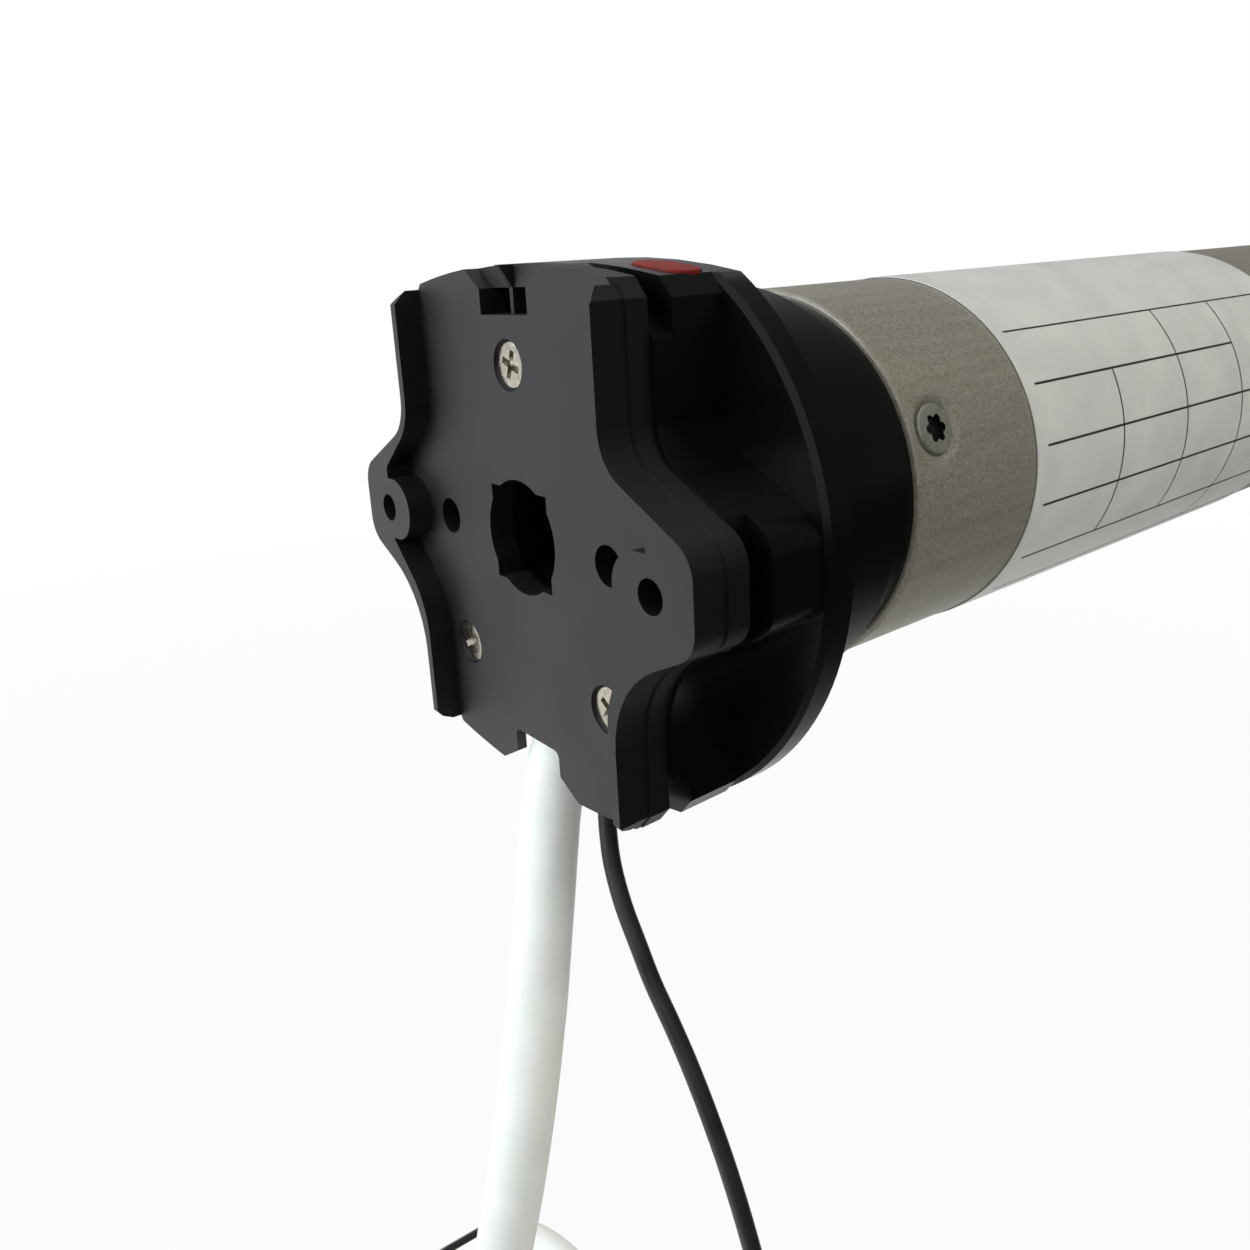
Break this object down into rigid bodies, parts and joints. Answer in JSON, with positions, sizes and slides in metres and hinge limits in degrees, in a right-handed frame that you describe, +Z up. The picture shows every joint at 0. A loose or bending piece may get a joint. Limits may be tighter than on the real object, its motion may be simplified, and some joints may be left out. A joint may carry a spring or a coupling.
{
  "type": "tubular roller blind motor",
  "caption": "Tubular motor for roller blinds: bracket head with stud socket and pressed programming button, painted tube, geared drive shaft, mains lead and aerial wire.",
  "frame": {"origin": "on the motor's axis, level with the front rims of the bracket head, midway between the outer pair of bracket holes", "axes": "+X along the axis from the head to the drive shaft; +Z up, from the cable slot to the programming button; +Y to the side away from the label's middle"},
  "size_m": [0.4801, 0.1024, 0.2636],
  "materials": {
    "head_plastic": "moulded glass-filled polyamide, satin",
    "bright_screw": "bright nickel plate",
    "button_red": "translucent red button cap",
    "circuit_board": "solder mask over glass laminate",
    "black_rubber": "soft black rubber or flexible PVC",
    "lead_sheath": "white PVC sheath",
    "core_sheath": "coloured core insulation",
    "pale_plastic": "moulded polyamide",
    "tube_paint": "steel tube with fine metallic paint",
    "label_film": "silvery white polyester film",
    "grey_plastic": "moulded polyamide",
    "relay_plastic": "moulded relay case",
    "transformer_tape": "polyester winding tape",
    "can_aluminium": "drawn aluminium can",
    "magnet": "sintered ferrite",
    "cast_alloy": "die-cast alloy",
    "bearing_steel": "ground bearing steel",
    "lamination": "stacked electrical steel",
    "winding": "enamelled copper wire",
    "shaft_steel": "turned and hardened steel",
    "brake_lining": "friction lining on a hub",
    "gear_plastic": "moulded acetal",
    "gear_steel": "sintered steel",
    "bush_bronze": "sintered bronze",
    "end_plastic": "moulded glass-filled polyamide",
    "spring_steel": "blackened spring steel"
  },
  "bodies": {
    "housing": {"head_cover": "head_plastic", "head_body": "head_plastic", "cover_screws": "bright_screw", "button_board": "circuit_board", "cable_gland": "black_rubber", "mains_lead": "lead_sheath", "lead_coil": "lead_sheath", "coil_ties": "black_rubber", "lead_cores": "core_sheath", "aerial_wire": "black_rubber", "terminal_block": "pale_plastic", "inner_leads": "core_sheath", "motor_tube": "tube_paint", "tube_screws": "bright_screw", "rating_label": "label_film", "board_cradle": "grey_plastic", "control_board": "circuit_board", "power_relays": "relay_plastic", "transformer": "transformer_tape", "radio_receiver": "circuit_board", "run_capacitor": "can_aluminium", "encoder_board": "circuit_board", "front_shield": "cast_alloy", "front_bearing": "bearing_steel", "stator_core": "lamination", "stator_windings": "winding", "rear_shield": "cast_alloy", "rear_bearing": "bearing_steel", "brake_springs": "shaft_steel", "brake_housing": "cast_alloy", "ring_gear": "gear_plastic", "output_bush": "bush_bronze", "end_cap": "end_plastic"},
    "rotor": {"rotor_shaft": "shaft_steel", "rotor_core": "lamination", "encoder_magnet": "magnet", "brake_disc": "brake_lining", "sun_pinion": "shaft_steel"},
    "brake_armature": {"brake_plate": "shaft_steel"},
    "button": {"program_button": "button_red"},
    "carrier_one": {"carrier_1": "shaft_steel"},
    "carrier_two": {"carrier_2": "shaft_steel"},
    "output": {"output_shaft": "shaft_steel", "output_carrier": "shaft_steel", "shaft_ring": "spring_steel"},
    "planet_1a": {"planet_1a": "gear_steel"},
    "planet_1b": {"planet_1b": "gear_steel"},
    "planet_1c": {"planet_1c": "gear_steel"},
    "planet_2a": {"planet_2a": "gear_steel"},
    "planet_2b": {"planet_2b": "gear_steel"},
    "planet_2c": {"planet_2c": "gear_steel"},
    "planet_3a": {"planet_3a": "gear_steel"},
    "planet_3b": {"planet_3b": "gear_steel"},
    "planet_3c": {"planet_3c": "gear_steel"}
  },
  "joints": [
    {"name": "rotor_spin", "type": "hinge", "parent": "housing", "child": "rotor", "pos_m": [0.265, 0, 0], "axis": [1, 0, 0], "continuous": true},
    {"name": "program_button_press", "type": "slide", "parent": "housing", "child": "button", "axis": [0, 0, -1], "range_m": [0, 0.0005], "stiffness_N_per_m": 900},
    {"name": "brake_release", "type": "slide", "parent": "housing", "child": "brake_armature", "axis": [1, 0, 0], "range_m": [0, 0.0004], "stiffness_N_per_m": 5000},
    {"name": "carrier_one_spin", "type": "hinge", "parent": "housing", "child": "carrier_one", "pos_m": [0.3575, 0, 0], "axis": [1, 0, 0], "continuous": true},
    {"name": "carrier_two_spin", "type": "hinge", "parent": "housing", "child": "carrier_two", "pos_m": [0.3743, 0, 0], "axis": [1, 0, 0], "continuous": true},
    {"name": "output_spin", "type": "hinge", "parent": "housing", "child": "output", "pos_m": [0.43, 0, 0], "axis": [1, 0, 0], "continuous": true},
    {"name": "planet_1a_spin", "type": "hinge", "parent": "carrier_one", "child": "planet_1a", "pos_m": [0.3531, 0.01125, 0], "axis": [1, 0, 0], "continuous": true},
    {"name": "planet_1b_spin", "type": "hinge", "parent": "carrier_one", "child": "planet_1b", "pos_m": [0.3531, -0.00562, 0.00974], "axis": [1, 0, 0], "continuous": true},
    {"name": "planet_1c_spin", "type": "hinge", "parent": "carrier_one", "child": "planet_1c", "pos_m": [0.3531, -0.00562, -0.00974], "axis": [1, 0, 0], "continuous": true},
    {"name": "planet_2a_spin", "type": "hinge", "parent": "carrier_two", "child": "planet_2a", "pos_m": [0.3684, 0.01125, 0], "axis": [1, 0, 0], "continuous": true},
    {"name": "planet_2b_spin", "type": "hinge", "parent": "carrier_two", "child": "planet_2b", "pos_m": [0.3684, -0.00562, 0.00974], "axis": [1, 0, 0], "continuous": true},
    {"name": "planet_2c_spin", "type": "hinge", "parent": "carrier_two", "child": "planet_2c", "pos_m": [0.3684, -0.00562, -0.00974], "axis": [1, 0, 0], "continuous": true},
    {"name": "planet_3a_spin", "type": "hinge", "parent": "output", "child": "planet_3a", "pos_m": [0.3882, 0.01125, 0], "axis": [1, 0, 0], "continuous": true},
    {"name": "planet_3b_spin", "type": "hinge", "parent": "output", "child": "planet_3b", "pos_m": [0.3882, -0.00562, 0.00974], "axis": [1, 0, 0], "continuous": true},
    {"name": "planet_3c_spin", "type": "hinge", "parent": "output", "child": "planet_3c", "pos_m": [0.3882, -0.00562, -0.00974], "axis": [1, 0, 0], "continuous": true}
  ],
  "couplings": [
    {"joint": "carrier_one_spin", "follows": "rotor_spin", "ratio": 0.2},
    {"joint": "carrier_two_spin", "follows": "rotor_spin", "ratio": 0.04},
    {"joint": "output_spin", "follows": "rotor_spin", "ratio": 0.008},
    {"joint": "planet_1a_spin", "follows": "rotor_spin", "ratio": -0.53333},
    {"joint": "planet_1b_spin", "follows": "rotor_spin", "ratio": -0.53333},
    {"joint": "planet_1c_spin", "follows": "rotor_spin", "ratio": -0.53333},
    {"joint": "planet_2a_spin", "follows": "rotor_spin", "ratio": -0.10667},
    {"joint": "planet_2b_spin", "follows": "rotor_spin", "ratio": -0.10667},
    {"joint": "planet_2c_spin", "follows": "rotor_spin", "ratio": -0.10667},
    {"joint": "planet_3a_spin", "follows": "rotor_spin", "ratio": -0.021333},
    {"joint": "planet_3b_spin", "follows": "rotor_spin", "ratio": -0.021333},
    {"joint": "planet_3c_spin", "follows": "rotor_spin", "ratio": -0.021333}
  ]
}
